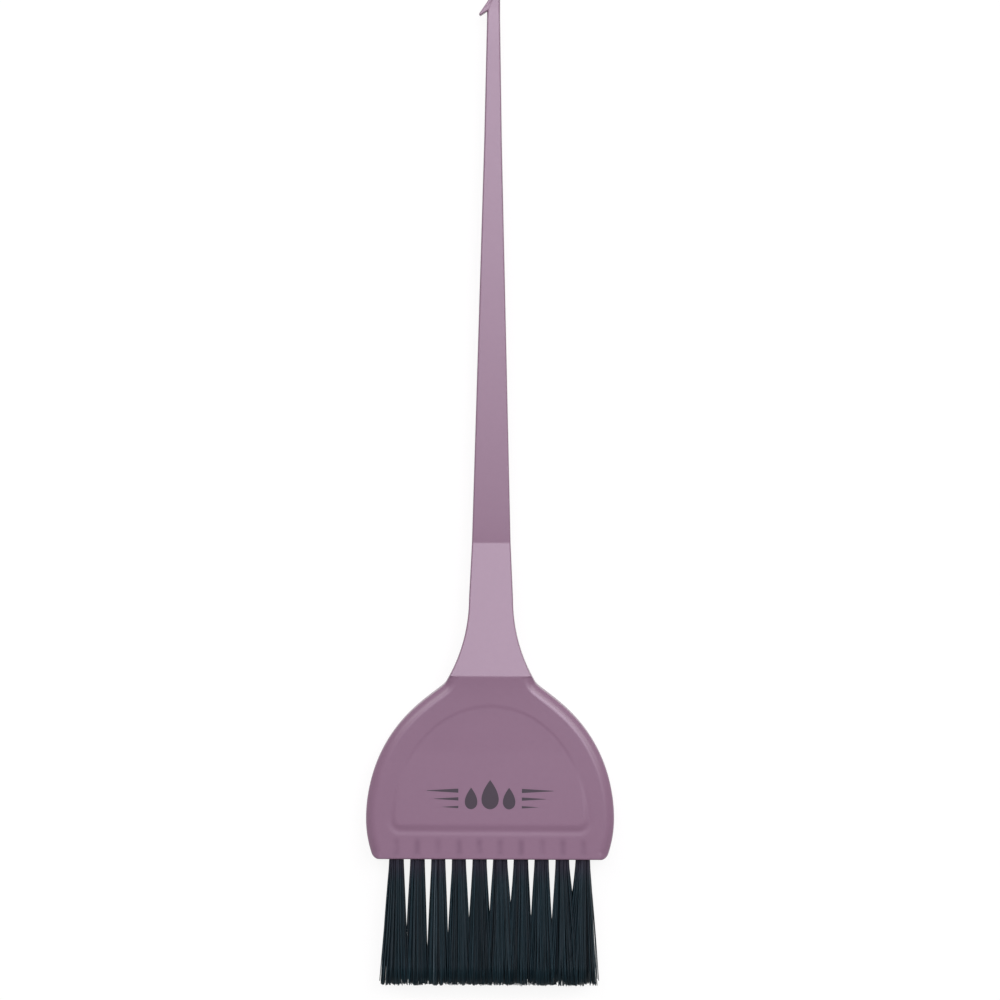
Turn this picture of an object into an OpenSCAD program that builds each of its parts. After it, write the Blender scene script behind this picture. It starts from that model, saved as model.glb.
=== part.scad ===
// Tint brush for hair colour: a one-piece moulded handle with a wide head, a
// ramped neck and a slim tail that ends in a hook, and two rows of bristle
// tufts, each folded over a flat metal anchor in its own blind hole.
// It lies on its back panel: +Z is the front face, +Y runs from the bristles
// to the hook, and the origin is under the middle of the whole brush.

/* [Head] */
// Width of the head at its widest line
head_w = 55; // [44:0.5:66]
// Distance from the lip up to the widest line
head_wide_at = 9; // [7:0.5:12]
// Height of the shoulder curve above the widest line
shoulder_rise = 30.8; // [29:0.2:34]
// Height of the curve below the widest line, which draws the sides in at the lip
side_drop = 25.8; // [23:0.2:31]
// Distance from the lip to the crease where the neck starts
head_l = 40.5; // [38:0.5:50]
// Thickness of the head at the lip
head_t = 9; // [7.5:0.1:11]
// Corner radius at both ends of the lip
lip_corner_r = 1.2; // [1:0.1:2.5]
// Radius of the lip's front and back edges
lip_edge_r = 0.6; // [0.3:0.1:0.8]
// Width of the bevel round the head
bevel_w = 2.3; // [1.5:0.1:3]
// How far the bevel falls away from the face
bevel_drop = 1.7; // [1:0.1:2.4]

/* [Panel] */
// Distance from the panel's sides to the head's sides
panel_margin = 5.8; // [4:0.1:8]
// Distance from the lip to the panel's straight base
panel_base = 6.5; // [5:0.1:8]
// Height of the panel's arch above the head's widest line
panel_rise = 25.5; // [20:0.1:27]
// Radius of the panel's two base corners
panel_corner_r = 2.1; // [1:0.1:2.8]
// How much each face falls from the crease to the lip, under the level panel
face_fall = 0.4; // [0.2:0.05:0.8]

/* [Neck] */
// Length of the neck, from crease to crease
neck_l = 29.5; // [24:0.5:36]
// Width of the neck where its flare towards the head begins
neck_w = 9.8; // [8:0.1:12]
// Distance from the head's crease to the beginning of the flare
flare_l = 17; // [15:0.5:20]
// Radius of the flare
flare_r = 36; // [32:1:44]
// Steepest angle of the flare
flare_angle = 34; // [28:1:36]
// How far the flare runs on inside the head, under the shoulders
flare_run = 9; // [7:0.5:11]
// Size of the rounding where the flare meets the shoulder
shoulder_blend = 4.2; // [2:0.2:6]
// Size of the rounded edges along the neck and the tail
neck_edge = 0.6; // [0.4:0.1:1]

/* [Tail] */
// Length of the tail, from the neck's crease to the top of the hook
tail_l = 123; // [95:1:150]
// Width of the tail at the neck
tail_w = 8.6; // [7:0.1:10.5]
// Thickness of the tail at the neck
tail_t = 4; // [3.2:0.1:5]
// How far along the straight tail its slower taper begins, as a factor
waist_at = 0.76; // [0.6:0.02:0.9]
// Width of the tail where its slower taper begins
waist_w = 3.95; // [3.6:0.05:5]
// Width of the tail at the hook
tip_w = 2.9; // [2.4:0.1:3.6]
// Thickness of the tail at the hook
tip_t = 2.2; // [1.8:0.1:2.8]

/* [Hook] */
// Length of the hook, from its top down to the straight tail
hook_l = 6.2; // [4.5:0.1:7]
// Thickness of the hook
hook_t = 2; // [1.6:0.1:2.4]
// Radius of the hook's rounded top
hook_top_r = 0.6; // [0.4:0.05:0.8]
// How far the barb's point stands out from the middle of the tail
barb_reach = 3.2; // [2.8:0.1:4]
// Distance from the top of the hook down to the barb's point
barb_l = 5.9; // [4.5:0.1:6.5]
// Radius of the barb's point
barb_r = 0.28; // [0.2:0.02:0.4]
// Distance from the top of the hook down to the corner under the barb
barb_root = 4.7; // [3:0.1:5]

/* [Bristles] */
// Length of the bristles outside the lip
bristle_l = 27.8; // [20:0.1:35]
// Diameter of a tuft where it leaves the lip
tuft_d = 3.1; // [2.5:0.1:3.8]
// Distance between neighbouring tufts along the lip
tuft_pitch = 4.6; // [4:0.05:5.6]
// Least distance from the last tuft's middle to the end of the lip
end_margin = 4.6; // [4:0.1:7]
// How much wider the row of tufts is at its tips, as a factor
tip_spread = 1.072; // [1.02:0.002:1.1]
// Gap left between neighbouring tufts at their tips
tip_gap = 0.3; // [0.1:0.05:0.5]
// Depth of each tuft's blind hole
hole_depth = 6; // [5:0.5:10]
// Gap between a tuft and the wall of its hole
tuft_clearance = 0.05; // [0.02:0.01:0.1]

/* [Anchors] */
// Length of an anchor along the fold, in the direction of the bristles
anchor_h = 1.8; // [1.2:0.1:2.4]
// Thickness of an anchor's sheet
anchor_t = 0.4; // [0.3:0.05:0.5]
// How far an anchor bites into the wall on each side of its hole
anchor_bite = 0.25; // [0.1:0.05:0.35]
// Thickness of the folded bristles between an anchor and the hole's bottom
fold_t = 0.7; // [0.4:0.1:1]

/* [Hidden] */
ROWS = ["front", "back"];
overall_t = head_t + 2 * face_fall;
handle_l = head_l + neck_l + tail_l;
lip_y = (bristle_l - handle_l) / 2;
mid_z = overall_t / 2;
neck_end = head_l + neck_l;
tail_end = handle_l - hook_l;
waist = neck_end + waist_at * (tail_end - neck_end);
flare_top = head_l + flare_l;

hole_d = tuft_d + 2 * tuft_clearance;
row_wall = (head_t - len(ROWS) * hole_d) / (len(ROWS) + 1);
row_offset = (hole_d + row_wall) / 2;
anchor_l = hole_d + 2 * anchor_bite;
anchor_seat = hole_depth - fold_t - anchor_h;

columns = floor(2 * (dome_half(0) - end_margin) / tuft_pitch) + 1;
tip_d = min(tuft_pitch * tip_spread - tip_gap, (overall_t - tip_gap) / 2);
tip_row_offset = (tip_d + tip_gap) / 2;

// Stations along the handle's skin: the rounded corner of the lip, the head,
// the crease, the neck's flare, the neck's end, the tail's waist and its end.
corner_steps = 5;
head_step = 1.6;
flare_steps = 12;
crease_half = 0.15;
stations = concat(
    [for (i = [0:corner_steps]) lip_corner_r * (1 - cos(90 * i / corner_steps))],
    [for (y = [lip_corner_r + head_step : head_step : head_l - head_step / 2]) y],
    [head_l - crease_half, head_l + crease_half],
    [for (i = [1:flare_steps]) head_l + flare_l * i / flare_steps],
    [neck_end, waist, tail_end]
);

function two_digits(i) = str(i < 9 ? "0" : "", i + 1);
function node_name(kind, row, col) = str(kind, "_", row, "_", two_digits(col));

function mix(a, b, k) = a + (b - a) * k;
function along(y, y0, y1) = min(1, max(0, (y - y0) / (y1 - y0)));

// Half width of the domed head, without its corners.
function dome_half(y) =
    let (rise = y < head_wide_at ? side_drop : shoulder_rise)
    head_w / 2 * sqrt(max(0, 1 - pow((y - head_wide_at) / rise, 2)));

// Half width of the neck: a slight taper, then a flare that turns into a slope.
function neck_half(y) =
    let (
        d = max(0, min(flare_top - y, flare_l + flare_run)),
        d_arc = flare_r * sin(flare_angle),
        flare = d < d_arc
            ? flare_r - sqrt(flare_r * flare_r - d * d)
            : flare_r * (1 - cos(flare_angle)) + (d - d_arc) * tan(flare_angle)
    )
    mix(neck_w, tail_w, along(y, flare_top, neck_end)) / 2 + flare;

// The larger of two widths, with a rounding where they are alike.
function smooth_max(a, b, k) =
    let (h = min(1, max(0, 0.5 + (a - b) / (2 * k))))
    mix(b, a, h) + k * h * (1 - h);

function round_in(y, r) = y >= r ? 0 : r - sqrt(max(0, r * r - (r - y) * (r - y)));

function tail_half(y) =
    y < waist ? mix(tail_w, waist_w, along(y, neck_end, waist)) / 2
    : mix(waist_w, tip_w, along(y, waist, tail_end)) / 2;

function half_w(y) =
    y > neck_end ? tail_half(y)
    : smooth_max(dome_half(y), neck_half(y), shoulder_blend) - round_in(y, lip_corner_r);

// Half thickness: the head's faces rise to the crease, then the neck ramps down.
function half_t(y) =
    y > neck_end ? mix(tail_t, tip_t, along(y, neck_end, tail_end)) / 2
    : y > head_l ? mix(overall_t, tail_t, along(y, head_l, neck_end)) / 2
    : mix(head_t, overall_t, along(y, 0, head_l)) / 2 - round_in(y, lip_edge_r);

// The bevel's width across the handle: it keeps its own width square to the
// outline, and steps down to the neck's smaller edge at the crease.
slope_step = 0.5;
function outline_slope(y) =
    (half_w(y + slope_step) - half_w(max(lip_corner_r, y - slope_step))) / (2 * slope_step);
function bevel_at(y) =
    y < head_l ? bevel_w * sqrt(1 + pow(outline_slope(max(lip_corner_r, y)), 2))
    : min(neck_edge, half_w(y) / 3);
function drop_at(y) = min(y < head_l ? bevel_drop : neck_edge, half_t(y) / 2);

// One closed section of the handle, anticlockwise seen from the bristles.
knee_in = 0.35;
knee_down = 0.45;
function corner_points(y) =
    let (w = half_w(y), t = half_t(y), b = bevel_at(y), d = drop_at(y))
    [[w, t - d], [w - knee_in * b, t - knee_down * d], [w - b, t]];
function section(y) =
    let (c = corner_points(y), n = len(c) - 1)
    concat(
        [for (i = [0:n]) [c[i][0], y, c[i][1]]],
        [for (i = [n:-1:0]) [-c[i][0], y, c[i][1]]],
        [for (i = [0:n]) [-c[i][0], y, -c[i][1]]],
        [for (i = [n:-1:0]) [c[i][0], y, -c[i][1]]]
    );

module skin() {
    rings = [for (y = stations) section(y)];
    n = len(rings[0]);
    last = len(rings) - 1;
    polyhedron(
        points = [for (ring = rings) for (p = ring) p],
        faces = concat(
            [[for (i = [n - 1:-1:0]) i]],
            [for (r = [0:last - 1]) for (i = [0:n - 1])
                let (j = (i + 1) % n)
                [r * n + i, r * n + j, (r + 1) * n + j, (r + 1) * n + i]],
            [[for (i = [0:n - 1]) last * n + i]]
        )
    );
}

// The panel's outline: an arch on a straight base with two round corners. The
// panel is level, so it is nearly flush at the arch and stands proud at its base.
arc_step = 6;
module panel_outline() {
    half = head_w / 2 - panel_margin;
    r = panel_corner_r;
    polygon(concat(
        [for (a = [0:arc_step:180]) [half * cos(a), head_wide_at + panel_rise * sin(a)]],
        [for (a = [180:3 * arc_step:270]) [r - half + r * cos(a), panel_base + r + r * sin(a)]],
        [for (a = [270:3 * arc_step:360]) [half - r + r * cos(a), panel_base + r + r * sin(a)]]
    ));
}

// The hook's outline: a straight stem with a round top, and a barb like a fin
// that points back along the tail.
module hook_outline() {
    stem_start = tail_end - 1;
    root = handle_l - barb_root;
    module top() translate([tip_w / 2 - hook_top_r, handle_l - hook_top_r]) circle(hook_top_r, $fn = 32);
    hull() {
        top();
        translate([-tip_w / 2, stem_start]) square([tip_w, root - stem_start]);
    }
    hull() {
        top();
        translate([barb_r - tip_w / 2, root + barb_r]) circle(barb_r, $fn = 32);
        translate([barb_r - barb_reach, handle_l - barb_l + barb_r]) circle(barb_r, $fn = 32);
    }
}

function col_x(col) = (col - (columns - 1) / 2) * tuft_pitch;
function row_sign(row) = row == "front" ? 1 : -1;

module place() translate([0, lip_y, mid_z]) children();

// Turns a shape drawn upwards so that it points along the bristles.
module at_hole(row, col, depth) {
    translate([col_x(col), depth, row_sign(row) * row_offset]) rotate([90, 0, 0]) children();
}

module anchor_plate(row, col) {
    at_hole(row, col, anchor_seat + anchor_h)
        translate([-anchor_l / 2, -anchor_t / 2, 0]) cube([anchor_l, anchor_t, anchor_h]);
}

module handle() {
    over = 1;
    color([0.55, 0.44, 0.52])
    place() difference() {
        union() {
            skin();
            translate([0, 0, -mid_z]) linear_extrude(overall_t) panel_outline();
            translate([0, 0, -hook_t / 2]) linear_extrude(hook_t) hook_outline();
        }
        for (row = ROWS) for (col = [0:columns - 1]) {
            at_hole(row, col, hole_depth) cylinder(d = hole_d, h = hole_depth + over, $fn = 48);
            anchor_plate(row, col);
        }
    }
}

module tuft(row, col) {
    disc = 0.02;
    color([0.11, 0.17, 0.19])
    place() difference() {
        union() {
            at_hole(row, col, hole_depth) cylinder(d = tuft_d, h = hole_depth, $fn = 32);
            hull() {
                at_hole(row, col, 0) cylinder(d = tuft_d, h = disc, $fn = 24);
                translate([col_x(col) * tip_spread, disc - bristle_l, row_sign(row) * tip_row_offset])
                    rotate([90, 0, 0]) cylinder(d = tip_d, h = disc, $fn = 24);
            }
        }
        anchor_plate(row, col);
    }
}

module anchor(row, col) {
    color([0.72, 0.6, 0.33]) place() anchor_plate(row, col);
}

handle();
for (row = ROWS) for (col = [0:columns - 1]) {
    tuft(row, col);
    anchor(row, col);
}
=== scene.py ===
"""Tint brush for hair colour, lying on its back panel.

A wide flat moulded handle in dusty mauve plastic, with two rows of dark nylon
bristle tufts held in the lip of its head by small brass anchors. +Y runs from
the bristles to the hook, +Z is the front face, and lengths are metres in
Blender and millimetres in the sections' own sizes.
"""

import math

import bpy
import numpy as np
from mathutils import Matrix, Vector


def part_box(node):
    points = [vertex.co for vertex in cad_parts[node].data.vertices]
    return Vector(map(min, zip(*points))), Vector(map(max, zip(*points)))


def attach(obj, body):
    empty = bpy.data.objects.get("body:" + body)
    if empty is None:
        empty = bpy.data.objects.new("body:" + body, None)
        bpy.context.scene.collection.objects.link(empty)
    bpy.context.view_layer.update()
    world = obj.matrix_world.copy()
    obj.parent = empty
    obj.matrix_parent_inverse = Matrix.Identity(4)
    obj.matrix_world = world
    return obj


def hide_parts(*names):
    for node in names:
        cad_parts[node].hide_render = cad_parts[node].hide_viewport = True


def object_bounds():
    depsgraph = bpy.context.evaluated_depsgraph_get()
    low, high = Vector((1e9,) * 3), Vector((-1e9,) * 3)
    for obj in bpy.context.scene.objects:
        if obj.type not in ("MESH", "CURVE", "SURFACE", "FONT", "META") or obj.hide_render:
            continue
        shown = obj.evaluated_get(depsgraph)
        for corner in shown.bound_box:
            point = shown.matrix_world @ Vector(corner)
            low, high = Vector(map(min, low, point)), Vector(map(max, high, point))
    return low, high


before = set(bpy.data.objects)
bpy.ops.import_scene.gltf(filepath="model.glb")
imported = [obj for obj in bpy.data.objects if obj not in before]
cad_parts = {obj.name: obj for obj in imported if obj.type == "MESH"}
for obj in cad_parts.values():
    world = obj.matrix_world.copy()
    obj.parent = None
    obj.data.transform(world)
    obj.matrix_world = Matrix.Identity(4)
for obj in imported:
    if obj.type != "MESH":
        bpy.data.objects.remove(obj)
cad_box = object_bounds()

# ---------------------------------------------------------------------------
# The room: a camera straight above the brush, one large softbox behind the
# hook's end, a soft white room, and a pale table lit like a light box.
# ---------------------------------------------------------------------------
MM = 0.001

scene = bpy.context.scene
scene.view_settings.view_transform = "Standard"
scene.view_settings.look = "None"

# Millimetres and degrees: how far up the camera hangs, over which point, and its turn.
camera_height = 679.0
camera_lens = 110.0
view_middle = (1.90, -3.1)
camera_roll = 0.25

camera_data = bpy.data.cameras.new("camera")
camera_data.lens = camera_lens
camera_data.sensor_width = 36.0  # full frame
camera_data.clip_start = 0.01
camera_data.clip_end = 20.0
camera = bpy.data.objects.new("camera", camera_data)
middle_height = (cad_box[0].z + cad_box[1].z) / 2
camera.location = (view_middle[0] * MM, view_middle[1] * MM, middle_height + camera_height * MM)
camera.rotation_euler = (0.0, 0.0, math.radians(camera_roll))
scene.collection.objects.link(camera)
scene.camera = camera

light_tint = (1.03, 0.95, 1.08)


def softbox(name, distance, tilt_y, tilt_x, spread_y, spread_x, radiance):
    """A rectangular light aimed at the brush, placed and sized by angles from straight up."""
    light = bpy.data.lights.new(name, "AREA")
    light.shape = "RECTANGLE"
    light.size = 2 * distance * math.tan(math.radians(spread_x / 2))
    light.size_y = 2 * distance * math.tan(math.radians(spread_y / 2))
    light.energy = radiance * math.pi * light.size * light.size_y
    light.color = light_tint
    holder = bpy.data.objects.new(name, light)
    holder.location = (
        distance * math.sin(math.radians(tilt_x)),
        distance * math.sin(math.radians(tilt_y)),
        distance * math.cos(math.radians(tilt_y)) * math.cos(math.radians(tilt_x)),
    )
    holder.rotation_euler = holder.location.to_track_quat("Z", "Y").to_euler()
    scene.collection.objects.link(holder)


softbox("softbox", distance=4.0, tilt_y=15.9, tilt_x=4.0, spread_y=24.0, spread_x=40.0, radiance=5.5)


class Wire:
    """A socket in a node tree. Sums written with it add Math nodes to the tree."""

    def __init__(self, tree, socket=None):
        self.tree = tree
        self.socket = socket

    def node(self, kind, inputs=None, out=0, **settings):
        """Adds a node: its settings first, then values or links by input name or number."""
        made = self.tree.nodes.new(kind)
        for name, value in settings.items():
            setattr(made, name, value)
        for name, value in (inputs or {}).items():
            socket = made.inputs[name]
            if isinstance(value, Wire):
                self.tree.links.new(value.socket, socket)
            else:
                socket.default_value = value
        return Wire(self.tree, made.outputs[out] if made.outputs else None)

    def out(self, name):
        """Another output of the node that this socket belongs to."""
        return Wire(self.tree, self.socket.node.outputs[name])

    def math(self, operation, *values):
        return self.node("ShaderNodeMath", dict(enumerate(values)), operation=operation)

    def __add__(self, other):
        return self.math("ADD", self, other)

    __radd__ = __add__

    def __sub__(self, other):
        return self.math("SUBTRACT", self, other)

    def __rsub__(self, other):
        return self.math("SUBTRACT", other, self)

    def __mul__(self, other):
        return self.math("MULTIPLY", self, other)

    __rmul__ = __mul__

    def __truediv__(self, other):
        return self.math("DIVIDE", self, other)

    def __pow__(self, other):
        return self.math("POWER", self, other)

    def size(self):
        return self.math("ABSOLUTE", self)

    def either(self, other):
        return self.math("MAXIMUM", self, other)

    def within(self, low, high):
        """The value held between two limits."""
        return self.math("MAXIMUM", self.math("MINIMUM", self, high), low)

    def ramp(self, low, high):
        """0 below low, 1 above high, smooth between."""
        return self.node(
            "ShaderNodeMapRange",
            {"Value": self, "From Min": low, "From Max": high},
            interpolation_type="SMOOTHSTEP",
        )

    def blend(self, first, second):
        """The first colour where this is 0, the second where it is 1."""
        return self.node("ShaderNodeMix", {0: self, 6: first, 7: second}, out=2, data_type="RGBA")


# The room glows faintly all round. A brighter band of wall at the hook's end shows in the
# sloping edges: each pair is where one side of it fades in or out, measured on the unit
# direction from the brush.
room_glow = 0.3
wall_glow = 2.6
band_fade_in = (0.42, 0.56)
band_fade_out = (0.8, 0.96)
wall_slant = 0.42
wall_skew = 0.16
slant_fade = (-0.06, 0.12)
gap_fade = (0.12, 0.32)

room = bpy.data.worlds.new("room")
room.use_nodes = True
room.node_tree.nodes.clear()
w = Wire(room.node_tree)
heading = w.node("ShaderNodeSeparateXYZ", {0: w.node("ShaderNodeTexCoord", out="Generated")})
towards_hook = heading.out("Y")
to_right = heading.out("X")
off_axis = (to_right * to_right + towards_hook * towards_hook) ** 0.5
band = off_axis.ramp(*band_fade_in) * (1 - off_axis.ramp(*band_fade_out))
past_slant = towards_hook - (wall_slant * to_right.size() - wall_skew * to_right)
wall = band * past_slant.ramp(*slant_fade) * to_right.size().ramp(*gap_fade)
room_light = room_glow + wall_glow * wall
sky = w.node("ShaderNodeBackground", {"Color": (1.0, 1.0, 1.0, 1.0), "Strength": room_light})
w.node("ShaderNodeOutputWorld", {"Surface": sky})
scene.world = room

table_half = 1.5
table_grey = (0.14, 0.14, 0.14, 1.0)
table_light = (1.0, 1.0, 0.995, 1.0)
table_glow = 0.87
table_mesh = bpy.data.meshes.new("table")
table_mesh.from_pydata(
    [(-table_half, -table_half, 0), (table_half, -table_half, 0),
     (table_half, table_half, 0), (-table_half, table_half, 0)],
    [],
    [(0, 1, 2, 3)],
)
table = bpy.data.objects.new("table", table_mesh)
scene.collection.objects.link(table)
table_paint = bpy.data.materials.new("table_white")
table_paint.use_nodes = True
table_shader = table_paint.node_tree.nodes["Principled BSDF"]
table_shader.inputs["Base Color"].default_value = table_grey
table_shader.inputs["Roughness"].default_value = 0.9
table_shader.inputs["Specular IOR Level"].default_value = 0.0
table_shader.inputs["Emission Color"].default_value = table_light
table_shader.inputs["Emission Strength"].default_value = table_glow
table_mesh.materials.append(table_paint)

# ---------------------------------------------------------------------------
# Handle: head, neck, tail and hook in one injection moulding of glossy mauve
# plastic. Its faces are ruled surfaces with crisp creases at both ends of the
# neck, a faint panel on each side of the head, and a row of blind holes in the
# lip for each row of tufts.
# ---------------------------------------------------------------------------
handle_low, handle_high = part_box("handle")
lip_y = handle_low.y / MM
mid_z = (handle_low.z + handle_high.z) / 2 / MM
half_thick = (handle_high.z - handle_low.z) / 2 / MM

# Outline, in millimetres: every height is above the lip.
head_w = 55.0
head_wide_at = 9.0
shoulder_rise = 30.8
side_drop = 25.8
head_l = 40.5
lip_corner_r = 1.2
neck_w = 9.8
neck_l = 29.5
flare_l = 17.0
flare_r = 36.0
flare_angle = math.radians(34.0)
flare_run = 9.0
shoulder_blend = 4.2
tail_l = 123.0
tail_w = 8.6
tail_half_t = 2.0
waist_at = 0.76
waist_w = 3.95
tip_w = 2.9
tip_half_t = 1.1
hook_l = 6.2
hook_half_t = 1.0
hook_top_r = 0.6
hook_step_l = 1.5

neck_end = head_l + neck_l
handle_l = neck_end + tail_l
tail_end = handle_l - hook_l
waist = neck_end + waist_at * (tail_end - neck_end)
flare_top = head_l + flare_l


def mix(a, b, k):
    return a + (b - a) * k


def along(y, y0, y1):
    return min(1.0, max(0.0, (y - y0) / (y1 - y0)))


def smooth(k):
    k = np.clip(k, 0.0, 1.0)
    return k * k * (3 - 2 * k)


def half_width(y):
    """Half width of the handle at a height above the lip, before the lip's corners."""
    if y > waist:
        return mix(waist_w, tip_w, along(y, waist, tail_end)) / 2
    if y > neck_end:
        return mix(tail_w, waist_w, along(y, neck_end, waist)) / 2
    rise = side_drop if y < head_wide_at else shoulder_rise
    dome = head_w / 2 * math.sqrt(max(0.0, 1 - ((y - head_wide_at) / rise) ** 2))
    d = max(0.0, min(flare_top - y, flare_l + flare_run))
    arc = flare_r * math.sin(flare_angle)
    if d < arc:
        flare = flare_r - math.sqrt(flare_r ** 2 - d ** 2)
    else:
        flare = flare_r * (1 - math.cos(flare_angle)) + (d - arc) * math.tan(flare_angle)
    neck = mix(neck_w, tail_w, along(y, flare_top, neck_end)) / 2 + flare
    h = min(1.0, max(0.0, 0.5 + (dome - neck) / (2 * shoulder_blend)))
    return mix(neck, dome, h) + shoulder_blend * h * (1 - h)


# The face falls from the crease to the lip. The panel lies a little under it along
# its arch and stands proud of it at its base, with a shallow valley round its lower
# part. The plastic has sunk a little over each tuft.
face_fall = 0.32
crease_fall = 0.21
crease_reach = 3.0
arch_sunk = 0.06
base_raised = 0.24
raise_ends = 24.0
panel_side = 5.8
panel_half = head_w / 2 - panel_side
panel_base = 6.5
panel_rise = 25.5
panel_corner_r = 2.1
low_part = (panel_base + 2.0, head_wide_at + 8.0)
base_part = (panel_base, panel_base + 2.5)
wall_w = 0.7
wall_w_low = 0.5
wall_w_base = 0.7
wall_shift = 0.2
valley_deep = 0.065
valley_wide = 1.0
neck_sag = 0.06
tail_dip = 0.084
tail_dip_reach = 4.0
tuft_pitch = 4.6
columns = 10
sink_deep = 0.03
sink_w = 0.6
sink_from, sink_from_l = 0.8, 0.8
sink_to, sink_to_l = 3.4, 1.4


def panel_depth(x, y):
    """Distance inwards from the panel's outline, negative outside, for x in an array."""
    x = np.abs(x)
    if y > head_wide_at:
        k = np.sqrt((x / panel_half) ** 2 + ((y - head_wide_at) / panel_rise) ** 2) + 1e-9
        slope = np.sqrt((x / panel_half ** 2) ** 2 + ((y - head_wide_at) / panel_rise ** 2) ** 2) / k
        side = (1 - k) / (slope + 1e-9)
    else:
        side = panel_half - x
    base = y - panel_base
    qx = panel_corner_r - side
    qy = panel_corner_r - base
    round_corner = panel_corner_r - np.hypot(np.maximum(qx, 0), max(qy, 0.0))
    return np.where((qx > 0) & (qy > 0), round_corner, np.minimum(side, base))


def head_face(x, y):
    """Height of the head's front face above the middle plane, for x in an array."""
    up = head_l - y
    face = half_thick - face_fall * up / head_l - crease_fall * (1 - math.exp(-up / crease_reach))
    depth = panel_depth(x, y)
    low = 1 - along(y, *low_part)
    wall = wall_w + wall_w_low * low + wall_w_base * (1 - along(y, *base_part))
    start = mix(wall_shift, -wall_shift, low)
    rise = smooth((depth - start) / wall)
    ramp = np.clip((depth - start + valley_wide) / valley_wide, 0.0, 1.0)
    valley = valley_deep * low * ramp * (1 - rise)
    sink = 0.0
    for col in range(columns):
        middle = (col - (columns - 1) / 2) * tuft_pitch
        sink = sink + np.exp(-(((x - middle) / sink_w) ** 2))
    near_lip = smooth((y - sink_from) / sink_from_l) * (1 - smooth((y - sink_to) / sink_to_l))
    outside = face - valley - sink_deep * sink * near_lip
    panel = face - arch_sunk + base_raised * (1 - along(y, panel_base, raise_ends))
    return mix(outside, panel, rise)


def face_height(x, y):
    """Height of the handle's front face above the middle plane, for x in an array."""
    if y <= head_l:
        return head_face(x, y)
    if y <= neck_end:
        k = along(y, head_l, neck_end)
        ruled = mix(half_thick, tail_half_t - tail_dip, k)
        return np.full_like(x, ruled - neck_sag * 4 * k * (1 - k))
    if y <= tail_end:
        flat = mix(tail_half_t, tip_half_t, along(y, neck_end, tail_end))
        return np.full_like(x, flat - tail_dip * math.exp(-(y - neck_end) / tail_dip_reach))
    return np.full_like(x, mix(tip_half_t, hook_half_t, float(smooth((y - tail_end) / hook_step_l))))


def rounding(run_arc, slope, flat, side_r, steps):
    """Points of an edge, as shares of its run and drop: an arc, a slope and a tighter arc."""
    a = math.radians(slope)
    points = []
    for i in range(steps + 1):
        t = a * i / steps
        points.append((run_arc * math.sin(t), run_arc * (1 - math.cos(t))))
    run, drop = points[-1]
    run, drop = run + flat * math.cos(a), drop + flat * math.sin(a)
    points.append((run, drop))
    for i in range(1, steps + 1):
        t = mix(a, math.pi / 2, i / steps)
        over, under = math.sin(t) - math.sin(a), math.cos(a) - math.cos(t)
        points.append((run + side_r * over, drop + side_r * under))
    run, drop = points[-1]
    return [(r / run, d / drop) for r, d in points[1:]]


# The edges' cross-sections: the head's broad bevel, a plain quarter round for the
# rest, and below both the side with its draft down to the parting line.
bevel_shape = rounding(run_arc=2.3, slope=38.0, flat=0.6, side_r=0.8, steps=5)
quarter = [
    (math.sin(math.pi / 2 * i / len(bevel_shape)), 1 - math.cos(math.pi / 2 * i / len(bevel_shape)))
    for i in range(1, len(bevel_shape) + 1)
]
side_draft = 0.05
parting_half = 0.1
side_shape = [(0.35, 1.0), (0.16, 0.8), (parting_half, 0.0), (0.0, 0.0)]
edge_points = len(bevel_shape) + len(side_shape)
edge_deep = 0.92
side_deep = 0.8
face_columns = 160


def outline_row(xl, xr, y, inward, inset, drop, crisp):
    """One row across the front, from the left side over the face to the right side.

    inward is the way from the right side to the face, inset and drop are the edge's
    width and fall, and crisp goes from a quarter round at 0 to the bevel at 1.
    """
    inner_y = y + inward[1] * inset
    left, right = xl - inward[0] * inset, xr + inward[0] * inset
    xs = np.linspace(left, right, face_columns + 1)
    zs = face_height(xs, max(inner_y, 0.0))
    row = [(x, inner_y, z) for x, z in zip(xs, zs)]
    edges = []
    for side, start, z0 in ((-1, left, zs[0]), (1, right, zs[-1])):
        step = (-inward[0] * side, -inward[1])
        down = min(drop, z0 * edge_deep)
        points = []
        for (r0, d0), (r1, d1) in zip(bevel_shape, quarter):
            r, d = mix(r1, r0, crisp), mix(d1, d0, crisp)
            out = r * (inset - side_draft)
            points.append((start + step[0] * out, inner_y + step[1] * out, z0 - d * down))
        for z, draft in side_shape:
            out = inset - side_draft * draft
            level = min(z, (z0 - down) * side_deep)
            points.append((start + step[0] * out, inner_y + step[1] * out, level))
        edges.append(points)
    return edges[0][::-1] + row + edges[1]


bevel_w = 2.3
bevel_drop = 1.5
crease_bevel_w = 2.6
crease_bevel_drop = 0.4
lip_edge = 0.45
neck_edge = 0.35
hook_edge = 0.45
narrow_share = 2.6
crease_half = 0.1
rows = []

# The lip's corners turn from the lip's edge to the head's bevel, which leans with the
# sides' run over one millimetre.
corner_steps = 8
corner_w = half_width(lip_corner_r)
corner_lean = half_width(lip_corner_r + 0.5) - half_width(lip_corner_r - 0.5)
for i in range(corner_steps + 1):
    k = i / corner_steps
    a = math.pi / 2 * k
    y = lip_corner_r * (1 - math.cos(a))
    half = half_width(y) - lip_corner_r * (1 - math.sin(a))
    inner_y = mix(lip_edge, lip_corner_r + bevel_w * corner_lean, k)
    inner_half = mix(half_width(0.0) - lip_corner_r, corner_w - bevel_w, k)
    inset = math.hypot(half - inner_half, inner_y - y)
    inward = ((inner_half - half) / inset, (inner_y - y) / inset)
    fall = mix(lip_edge, bevel_drop, float(smooth(k)))
    rows.append(outline_row(-half, half, y, inward, inset, fall, k))

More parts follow.
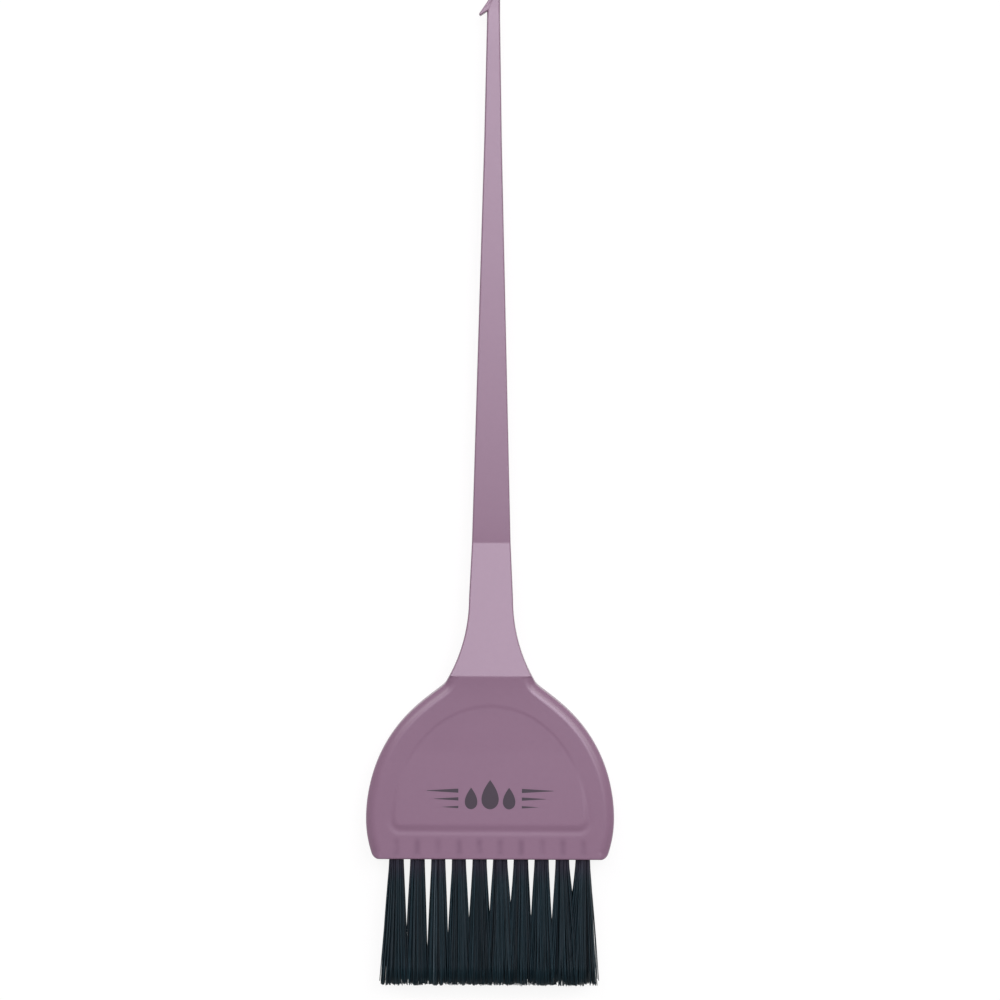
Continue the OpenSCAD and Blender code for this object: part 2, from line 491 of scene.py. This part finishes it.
# The head up to its crease, where the bevel turns level and widens.
head_rows = 120
turn_l = 2.0
lean_step = 0.2
head_ys = [mix(lip_corner_r, head_l - crease_half, i / head_rows) for i in range(1, head_rows + 1)]
for y in head_ys:
    half = half_width(y)
    lean = half_width(y + lean_step) - half_width(y - lean_step)
    k = float(smooth((y - head_l + turn_l) / turn_l))
    nx, ny = -2 * lean_step, mix(lean, 0.0, k)
    size = math.hypot(nx, ny)
    inset = mix(bevel_w, crease_bevel_w, k)
    fall = mix(bevel_drop, crease_bevel_drop, k)
    rows.append(outline_row(-half, half, y, (nx / size, ny / size), inset, fall, 1.0))

# The neck and the tail, whose edges are plainly rounded. A row lies close beside each
# crease, and the tail's rows are closer together where it starts.
neck_rows = 30
tail_rows = 26
tail_crowd = 1.6
crease_side = 0.15
neck_from, neck_to = head_l + crease_half, neck_end - crease_half
neck_ys = [mix(neck_from, neck_to, i / neck_rows) for i in range(neck_rows + 1)]
tail_from = neck_end + crease_half
tail_ys = [mix(tail_from, tail_end, (i / tail_rows) ** tail_crowd) for i in range(tail_rows + 1)]
beside = [neck_ys[0] + crease_side, neck_ys[-1] - crease_side, tail_ys[0] + crease_side]
for y in sorted(neck_ys + tail_ys + beside):
    half = half_width(y)
    inset = min(neck_edge, half / narrow_share)
    rows.append(outline_row(-half, half, y, (-1.0, 0.0), inset, inset, 0.0))

# The hook's stem: its right side runs straight on, its left side leans in to the round top.
stem_rows = 14
stem_crowd = 1.7
stem_gap = 0.02
barb_root = 4.7
top_x, top_y = tip_w / 2 - hook_top_r, handle_l - hook_top_r
barb_root_y = handle_l - barb_root
for i in range(1, stem_rows + 1):
    k = i / stem_rows
    y = mix(tail_end, handle_l - stem_gap, 1 - (1 - k) ** stem_crowd)
    xl = mix(-tip_w / 2, top_x - hook_top_r, along(y, barb_root_y, top_y))
    xr = tip_w / 2
    if y > top_y:
        chord = math.sqrt(max(0.0, hook_top_r ** 2 - (y - top_y) ** 2))
        xl, xr = top_x - chord, top_x + chord
    inset = min(hook_edge, (xr - xl) / 2 / narrow_share)
    rows.append(outline_row(xl, xr, y, (-1.0, 0.0), inset, hook_edge, 0.0))

# The skin: the front rows, the back rows mirrored from them, and faces between.
front = np.array(rows)
row_count, row_size = front.shape[:2]
back = front[:, 1:-1] * (1.0, 1.0, -1.0)
skin_points = [tuple(p) for p in front.reshape(-1, 3)] + [tuple(p) for p in back.reshape(-1, 3)]
back_start = row_count * row_size


def front_at(row, i):
    return row * row_size + i


def back_at(row, i):
    if i == 0 or i == row_size - 1:
        return front_at(row, i)
    return back_start + row * (row_size - 2) + i - 1


skin_faces = []
for row in range(row_count - 1):
    for i in range(row_size - 1):
        up, j = row + 1, i + 1
        skin_faces.append((front_at(row, i), front_at(row, j), front_at(up, j), front_at(up, i)))
        skin_faces.append((back_at(row, j), back_at(row, i), back_at(up, i), back_at(up, j)))
for i in range(row_size - 1):
    last = row_count - 1
    loop = [front_at(last, i), front_at(last, i + 1), back_at(last, i + 1), back_at(last, i)]
    skin_faces.append(tuple(dict.fromkeys(loop)))

# The lip's own face, between the first row's front and back edges.
left_edge = [front_at(0, edge_points - 1 - k) for k in range(edge_points)]
right_edge = [front_at(0, edge_points + face_columns + 1 + k) for k in range(edge_points)]
left_back = [back_at(0, edge_points - 1 - k) for k in range(edge_points)]
right_back = [back_at(0, edge_points + face_columns + 1 + k) for k in range(edge_points)]
lip_columns = []
for i in range(face_columns + 1):
    top = front_at(0, edge_points + i)
    bottom = back_at(0, edge_points + i)
    if i == 0:
        column = [top] + left_edge + left_back[-2::-1] + [bottom]
    elif i == face_columns:
        column = [top] + right_edge + right_back[-2::-1] + [bottom]
    else:
        column = [top]
        x, y, z = skin_points[top]
        edge = [skin_points[p] for p in left_edge]
        fall = z - skin_points[front_at(0, edge_points)][2]
        for k, (_, ey, ez) in enumerate(edge):
            share = 1 - (k + 1) / len(edge)
            column.append(len(skin_points))
            skin_points.append((x, ey, ez + fall * share))
        for _, ey, ez in edge[-2::-1]:
            column.append(len(skin_points))
            skin_points.append((x, ey, -ez))
        column.append(bottom)
    lip_columns.append(column)
for a, b in zip(lip_columns, lip_columns[1:]):
    for k in range(len(a) - 1):
        skin_faces.append((a[k], a[k + 1], b[k + 1], b[k]))


def in_frame(point):
    """A point in millimetres above the lip, in metres in the frame."""
    x, y, z = point
    return (x * MM, (y + lip_y) * MM, (z + mid_z) * MM)


def solid(name, points, faces):
    """An object from points in millimetres and the faces between them."""
    mesh = bpy.data.meshes.new(name)
    mesh.from_pydata([in_frame(p) for p in points], [], faces)
    mesh.validate()
    made = bpy.data.objects.new(name, mesh)
    scene.collection.objects.link(made)
    return made


def loft(name, rings):
    """A closed solid through rings with the same number of points."""
    n = len(rings[0])
    points = [p for ring in rings for p in ring]
    faces = [tuple(range(n))[::-1]]
    for r in range(len(rings) - 1):
        for i in range(n):
            j = (i + 1) % n
            faces.append((r * n + i, r * n + j, (r + 1) * n + j, (r + 1) * n + i))
    faces.append(tuple(range((len(rings) - 1) * n, len(rings) * n)))
    return solid(name, points, faces)


def join_or_cut(body, tool, operation):
    """Adds one solid to the body, or takes it away, and removes the tool."""
    step = body.modifiers.new("join", "BOOLEAN")
    step.operation = operation
    step.object = tool
    step.solver = "MANIFOLD"
    bpy.context.view_layer.update()
    ready = bpy.data.meshes.new_from_object(body.evaluated_get(bpy.context.evaluated_depsgraph_get()))
    body.modifiers.remove(step)
    body.data = ready
    bpy.data.objects.remove(tool)


handle = solid("handle_moulding", skin_points, skin_faces)

# The barb: a small fin from the hook's top back to a round point.
barb_reach = 3.2
barb_l = 5.9
barb_r = 0.28
barb_edge = 0.22
barb_half_t = hook_half_t - 0.04
turn_steps = 8
barb_edge_steps = 4
barb_corners = (
    (top_x, top_y, hook_top_r),
    (barb_r - barb_reach, handle_l - barb_l + barb_r, barb_r),
    (barb_r - tip_w / 2, barb_root_y + barb_r, barb_r),
)


def fin_ring(shrink, z):
    """The outline round the barb's three corners, drawn in by an amount, at a height."""
    turns = []
    for (x0, y0, r0), (x1, y1, r1) in zip(barb_corners, barb_corners[1:] + barb_corners[:1]):
        heading = math.atan2(y1 - y0, x1 - x0)
        turns.append(heading - math.acos((r0 - r1) / math.hypot(x1 - x0, y1 - y0)))
    points = []
    for i, (x, y, r) in enumerate(barb_corners):
        start, end = turns[i - 1], turns[i]
        end += 2 * math.pi * math.ceil((start - end) / (2 * math.pi))
        for k in range(turn_steps + 1):
            a = mix(start, end, k / turn_steps)
            points.append((x + (r - shrink) * math.cos(a), y + (r - shrink) * math.sin(a), z))
    return points


levels = []
for i in range(barb_edge_steps + 1):
    a = math.pi / 2 * i / barb_edge_steps
    levels.append((barb_edge * (1 - math.sin(a)), -barb_half_t + barb_edge * (1 - math.cos(a))))
levels += [(s, -z) for s, z in reversed(levels)]
join_or_cut(handle, loft("barb", [fin_ring(s, z) for s, z in levels]), "UNION")

# The tufts' blind holes.
hole_d = 3.2
hole_depth = 6.0
row_offset = 2.033
hole_sides = 40
hole_over = 1.0
for sign in (1, -1):
    for col in range(columns):
        cx = (col - (columns - 1) / 2) * tuft_pitch
        rings = []
        for y in (-hole_over, hole_depth):
            rings.append([
                (cx + hole_d / 2 * math.cos(2 * math.pi * i / hole_sides),
                 y,
                 sign * row_offset + hole_d / 2 * math.sin(-2 * math.pi * i / hole_sides))
                for i in range(hole_sides)
            ])
        join_or_cut(handle, loft("hole", rings), "DIFFERENCE")

crease_angle = 32.0
handle.data.name = "handle_moulding"
for polygon in handle.data.polygons:
    polygon.use_smooth = True
handle.data.set_sharp_from_angle(angle=math.radians(crease_angle))


def new_material(name):
    """A cleared material with its tree's first wire."""
    material = bpy.data.materials.new(name)
    material.use_nodes = True
    material.node_tree.nodes.clear()
    return material, Wire(material.node_tree)


def finish_material(wire, shader):
    wire.node("ShaderNodeOutputMaterial", {"Surface": shader})


def tone(red, green, blue):
    return (red, green, blue, 1.0)


mauve = tone(0.223, 0.128, 0.190)
mauve_pale = tone(0.229, 0.132, 0.195)
mauve_deep = tone(0.168, 0.090, 0.144)
ink = tone(0.012, 0.004, 0.014)

# The plastic is one colour with a faint cloudiness and a finer grain.
plastic, w = new_material("mauve_plastic")
place = w.node("ShaderNodeTexCoord", out="Object")
split = w.node("ShaderNodeSeparateXYZ", {0: place})
x, y, z = split.out("X"), split.out("Y"), split.out("Z")
cloud = w.node("ShaderNodeTexNoise", {"Vector": place, "Scale": 45.0, "Detail": 3.0}, out="Fac")
grain = w.node("ShaderNodeTexNoise", {"Vector": place, "Scale": 900.0, "Detail": 2.0}, out="Fac")
colour = cloud.ramp(0.3, 0.7).blend(mauve, mauve_pale)
colour = (grain.ramp(0.35, 0.75) * 0.06).blend(colour, mauve_deep)

# Painted shade where the dark tufts would show faintly, and unevenly, through the thin wall over each
# hole.
hole_shade_least, hole_shade_patchy = 0.15, 0.6
above_lip = (y / MM) - lip_y
across = x / MM
column_place = across.math("FRACT", across / tuft_pitch)
from_tuft = (column_place - 0.5).size() * tuft_pitch
in_rows = 1 - across.size().ramp(22.4, 23.0)
through = (1 - from_tuft.ramp(0.0, 1.25)) * above_lip.ramp(0.4, 1.4) * (1 - above_lip.ramp(3.6, 5.4))
patches = w.node("ShaderNodeTexNoise", {"Vector": place, "Scale": 210.0, "Detail": 1.0}, out="Fac")
hole_shade_amount = hole_shade_least + hole_shade_patchy * patches.ramp(0.25, 0.65)
# Painted shade over the holes, mixed from the plastic's colour towards mauve_deep.
colour = (through * in_rows * hole_shade_amount).blend(colour, mauve_deep)

# The print on the front panel: three drops between tapering rules, in dark ink.
print_base = 11.2
print_edge = 0.15
drops = ((-4.2, 4.9), (0.0, 6.6), (4.2, 4.9))  # middle and height
drop_fullness = 0.78
rules = ((4.1, 14.0, 0.55), (2.3, 12.4, 0.45), (0.5, 10.8, 0.35))  # height, outer end and half width
rule_start = 7.0
rule_taper = 0.75
ink_cover = 0.94
ink_rough = 0.12

front_side = z.ramp((mid_z + 1.0) * MM, (mid_z + 2.0) * MM)
print_y = above_lip - print_base
printed = None
for middle, height in drops:
    share = (print_y / height).within(0.0, 1.0)
    drop_half = (share ** 0.5) * (1 - share) * (height * drop_fullness)
    drop = (drop_half - (across - middle).size()).ramp(0.0, print_edge)
    printed = drop if printed is None else printed.either(drop)
for rule_y, rule_end, thick in rules:
    share = (across.size() - rule_start) / (rule_end - rule_start)
    inside = share.ramp(-0.01, 0.01) * (1 - share.ramp(0.99, 1.01))
    rule_half = thick * (1 - share * rule_taper)
    printed = printed.either((rule_half - (print_y - rule_y).size()).ramp(0.0, print_edge) * inside)
printed = printed * front_side
colour = (printed * ink_cover).blend(colour, ink)

# Glossy moulded skin with a slight peel. The ink is a little duller.
plastic_rough = 0.27
peel = w.node("ShaderNodeTexNoise", {"Vector": place, "Scale": 330.0, "Detail": 2.0}, out="Fac")
rough = plastic_rough + printed * ink_rough
bump = w.node("ShaderNodeBump", {"Height": peel, "Strength": 0.25, "Distance": 0.00002})
shader = w.node(
    "ShaderNodeBsdfPrincipled",
    {"Base Color": colour, "Roughness": rough, "Normal": bump, "IOR": 1.58},
)
finish_material(w, shader)
handle.data.materials.clear()
handle.data.materials.append(plastic)

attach(handle, "root")
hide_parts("handle")

# ---------------------------------------------------------------------------
# Tufts: each is a bundle of straight dark nylon filaments, folded in half over
# its anchor in a blind hole. They leave the lip as a round bundle, fan out and
# mingle with their neighbours, and are trimmed level with slightly ragged tips.
# ---------------------------------------------------------------------------
bristle_l = 27.8
tuft_d = 3.1
filament_d = 0.2
filaments = 150
tuft_root = 5.2
tip_row_offset = 2.465
tip_half_z = 2.15
tip_ragged = 0.9
bow_most = 0.22
stray_most = 0.25
stray_last = 1.1

# How fast each tuft's left and right sides fan out, in millimetres per millimetre.
fans = [
    (0.074, 0.044), (0.045, 0.037), (0.037, 0.042), (0.042, 0.048), (0.048, 0.058),
    (0.058, 0.067), (0.067, 0.047), (0.047, 0.064), (0.064, 0.104), (0.104, 0.072),
]

# Near black with a blue-green gloss, a few greyer filaments, and a painted reflection
# of the mauve lip in the first millimetres.
lip_reflection_l = 6.0
lip_reflection_most = 0.55
nylon, w = new_material("dark_nylon")
place = w.node("ShaderNodeTexCoord", out="Object")
shade = w.node("ShaderNodeAttribute", out="Fac", attribute_name="shade")
down = w.node("ShaderNodeSeparateXYZ", {0: place}).out("Y") / MM - lip_y
flecks = w.node("ShaderNodeTexNoise", {"Vector": place, "Scale": 1500.0, "Detail": 1.0}, out="Fac")
black = tone(0.0030, 0.0088, 0.0125)
teal = tone(0.0085, 0.029, 0.039)
grey = tone(0.10, 0.13, 0.15)
painted_lip_reflection = tone(0.030, 0.017, 0.036)
colour = (shade * (0.6 + 0.8 * flecks)).blend(black, teal)
colour = (shade.ramp(0.985, 0.995) * 0.5).blend(colour, grey)
# Painted reflection of the mauve lip, strongest at the lip and fading out over the first 6 mm.
colour = (down.ramp(-lip_reflection_l, 0.0) * lip_reflection_most).blend(colour, painted_lip_reflection)
shader = w.node(
    "ShaderNodeBsdfPrincipled",
    {"Base Color": colour, "Roughness": 0.34 + 0.16 * flecks, "IOR": 1.41},
)
finish_material(w, shader)

tuft_tree = bpy.data.node_groups.new("bristle_tuft", "GeometryNodeTree")
tuft_tree.interface.new_socket("Geometry", in_out="OUTPUT", socket_type="NodeSocketGeometry")
tuft_inputs = {
    "Filaments": "NodeSocketInt",
    "Seed": "NodeSocketInt",
    "Filament Radius": "NodeSocketFloat",
    "Root Radius": "NodeSocketFloat",
    "Root Depth": "NodeSocketFloat",
    "Bristle Length": "NodeSocketFloat",
    "Root Place": "NodeSocketVector",
    "Tip Place": "NodeSocketVector",
    "Tip Half Width": "NodeSocketFloat",
    "Tip Half Depth": "NodeSocketFloat",
    "Ragged": "NodeSocketFloat",
    "Bow": "NodeSocketFloat",
    "Stray": "NodeSocketFloat",
    "Material": "NodeSocketMaterial",
}
sockets = {
    name: tuft_tree.interface.new_socket(name, in_out="INPUT", socket_type=kind).identifier
    for name, kind in tuft_inputs.items()
}
g = Wire(tuft_tree)
given = g.node("NodeGroupInput")


def random_value(seed_step, low=0.0, high=1.0):
    """A number for each point, from the tuft's seed and a step of its own."""
    seed = given.out("Seed") + seed_step
    return g.node("FunctionNodeRandomValue", {2: low, 3: high, 8: seed}, out=1, data_type="FLOAT")


def keep(geometry, name, value):
    """Stores a number on every point under a name."""
    return g.node(
        "GeometryNodeStoreNamedAttribute",
        {"Geometry": geometry, "Name": name, "Value": value},
        data_type="FLOAT",
        domain="POINT",
    )


def kept(name):
    """The number that each point keeps under a name."""
    return g.node("GeometryNodeInputNamedAttribute", {"Name": name}, out="Attribute", data_type="FLOAT")


# Each filament gets a place in the tuft's round section, a shade, and its own length,
# bow and stray.
turn = random_value(1, 0.0, 2 * math.pi)
reach = random_value(2) ** 0.5
disc_x = reach * turn.math("COSINE", turn)
disc_z = reach * turn.math("SINE", turn)
points = g.node("GeometryNodePoints", {"Count": given.out("Filaments")})
points = keep(points, "disc_x", disc_x)
points = keep(points, "disc_z", disc_z)
points = keep(points, "shade", random_value(3))
points = keep(points, "short", random_value(4) ** 2.0)
points = keep(points, "bow_x", random_value(5, -1.0, 1.0))
points = keep(points, "bow_z", random_value(6, -1.0, 1.0))
points = keep(points, "stray_x", random_value(7, -1.0, 1.0) ** 3.0)

stick = g.node(
    "GeometryNodeMeshCylinder",
    {"Vertices": 5, "Side Segments": 9, "Radius": given.out("Filament Radius"), "Depth": 1.0},
)
sticks = g.node("GeometryNodeInstanceOnPoints", {"Points": points, "Instance": stick})
sticks = g.node("GeometryNodeRealizeInstances", {"Geometry": sticks})

# Each stick is stretched from its root in the hole to its tip, and the filaments fan
# out between the two. Neighbours in the section lean the same way, in small clumps.
clump_seed_step = 3.7
clump_lean = 5.0
settle_power = 1.3
local = g.node("ShaderNodeSeparateXYZ", {0: g.node("GeometryNodeInputPosition")})
share = 0.5 - local.out("Z")
root_depth = given.out("Root Depth")
bristle_length = given.out("Bristle Length") - given.out("Ragged") * kept("short")
drop = root_depth - share * (root_depth + bristle_length)
out_share = (drop * -1.0).either(0.0) / given.out("Bristle Length")
root = g.node("ShaderNodeSeparateXYZ", {0: given.out("Root Place")})
tip = g.node("ShaderNodeSeparateXYZ", {0: given.out("Tip Place")})
clump_seed = given.out("Seed") * clump_seed_step
clump_place = g.node("ShaderNodeCombineXYZ", {0: kept("disc_x"), 1: kept("disc_z"), 2: clump_seed})
clump = g.node("ShaderNodeTexNoise", {"Vector": clump_place, "Scale": 2.6, "Detail": 1.0}, out="Color")
clump = g.node("ShaderNodeSeparateXYZ", {0: clump})
bow = given.out("Bow")
swing = out_share.math("SINE", out_share * math.pi)
settle = out_share ** settle_power
root_x = root.out("X") + kept("disc_x") * given.out("Root Radius")
root_z = root.out("Z") + kept("disc_z") * given.out("Root Radius")
tip_x = tip.out("X") + kept("disc_x") * given.out("Tip Half Width")
tip_z = tip.out("Z") + kept("disc_z") * given.out("Tip Half Depth")
line_x = root_x + (tip_x - root_x) * out_share
line_z = root_z + (tip_z - root_z) * out_share
line_x = line_x + (clump.out("X") - 0.5) * settle * bow * clump_lean + kept("bow_x") * swing * bow
line_x = line_x + kept("stray_x") * settle * given.out("Stray")
line_z = line_z + kept("bow_z") * swing * bow * 0.5
place = g.node(
    "ShaderNodeCombineXYZ",
    {0: line_x + local.out("X"), 1: root.out("Y") + drop, 2: line_z + local.out("Y")},
)
sticks = g.node("GeometryNodeSetPosition", {"Geometry": sticks, "Position": place})
# Laying the upright sticks along the brush swaps two axes, which turns them inside out.
sticks = g.node("GeometryNodeFlipFaces", {"Mesh": sticks})
sticks = g.node("GeometryNodeSetMaterial", {"Geometry": sticks, "Material": given.out("Material")})
for name in ("disc_x", "disc_z", "short", "bow_x", "bow_z", "stray_x"):
    sticks = g.node("GeometryNodeRemoveAttribute", {"Geometry": sticks, "Name": name})
g.node("NodeGroupOutput", {"Geometry": sticks})

for row_number, (row_name, sign) in enumerate((("front", 1), ("back", -1))):
    for col in range(columns):
        left_fan, right_fan = fans[col]
        root_x = (col - (columns - 1) / 2) * tuft_pitch
        tip_shift = bristle_l * (right_fan - left_fan) / 2
        tip_half_w = tuft_d / 2 + bristle_l * (left_fan + right_fan) / 2 - 0.1
        name = f"{row_name}_{col + 1:02d}"
        bundle = bpy.data.objects.new("bundle", bpy.data.meshes.new("bundle"))
        scene.collection.objects.link(bundle)
        grow = bundle.modifiers.new("grow", "NODES")
        values = {
            "Filaments": filaments,
            "Seed": 100 * row_number + col + 1,
            "Filament Radius": filament_d / 2 * MM,
            "Root Radius": (tuft_d - filament_d) / 2 * MM,
            "Root Depth": tuft_root * MM,
            "Bristle Length": bristle_l * MM,
            "Root Place": in_frame((root_x, 0.0, sign * row_offset)),
            "Tip Place": in_frame((root_x + tip_shift, 0.0, sign * tip_row_offset)),
            "Tip Half Width": tip_half_w * MM,
            "Tip Half Depth": tip_half_z * MM,
            "Ragged": tip_ragged * MM,
            "Bow": bow_most * MM,
            "Stray": (stray_last if col == columns - 1 else stray_most) * MM,
            "Material": nylon,
        }
        grow.node_group = tuft_tree
        for key, value in values.items():
            grow[sockets[key]] = value
        depsgraph = bpy.context.evaluated_depsgraph_get()
        grown = bpy.data.meshes.new_from_object(bundle.evaluated_get(depsgraph))
        bpy.data.objects.remove(bundle)
        grown.name = "bristles_" + name
        tuft = bpy.data.objects.new("bristles_" + name, grown)
        scene.collection.objects.link(tuft)
        for polygon in grown.polygons:
            polygon.use_smooth = True
        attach(tuft, "root")
        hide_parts("tuft_" + name)

# ---------------------------------------------------------------------------
# Anchors: small flat plates chopped from rolled brass strip, which hold each
# tuft at the bottom of its hole. They keep their modelled shape.
# ---------------------------------------------------------------------------
brass_light = tone(0.80, 0.60, 0.29)
brass_dull = tone(0.52, 0.35, 0.15)
brass, w = new_material("rolled_brass")
place = w.node("ShaderNodeTexCoord", out="Object")
rolled = w.node("ShaderNodeMapping", {"Vector": place, "Scale": (0.05, 1.0, 1.0)})
lines = w.node("ShaderNodeTexNoise", {"Vector": rolled, "Scale": 9000.0, "Detail": 3.0}, out="Fac")
tarnish = w.node("ShaderNodeTexNoise", {"Vector": place, "Scale": 700.0, "Detail": 2.0}, out="Fac")
colour = tarnish.ramp(0.35, 0.75).blend(brass_light, brass_dull)
bump = w.node("ShaderNodeBump", {"Height": lines, "Strength": 0.4, "Distance": 0.000004})
shader = w.node(
    "ShaderNodeBsdfPrincipled",
    {"Base Color": colour, "Metallic": 1.0, "Roughness": 0.28 + 0.2 * lines, "Normal": bump},
)
finish_material(w, shader)
for name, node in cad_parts.items():
    if name.startswith("anchor_"):
        node.data.materials.clear()
        node.data.materials.append(brass)
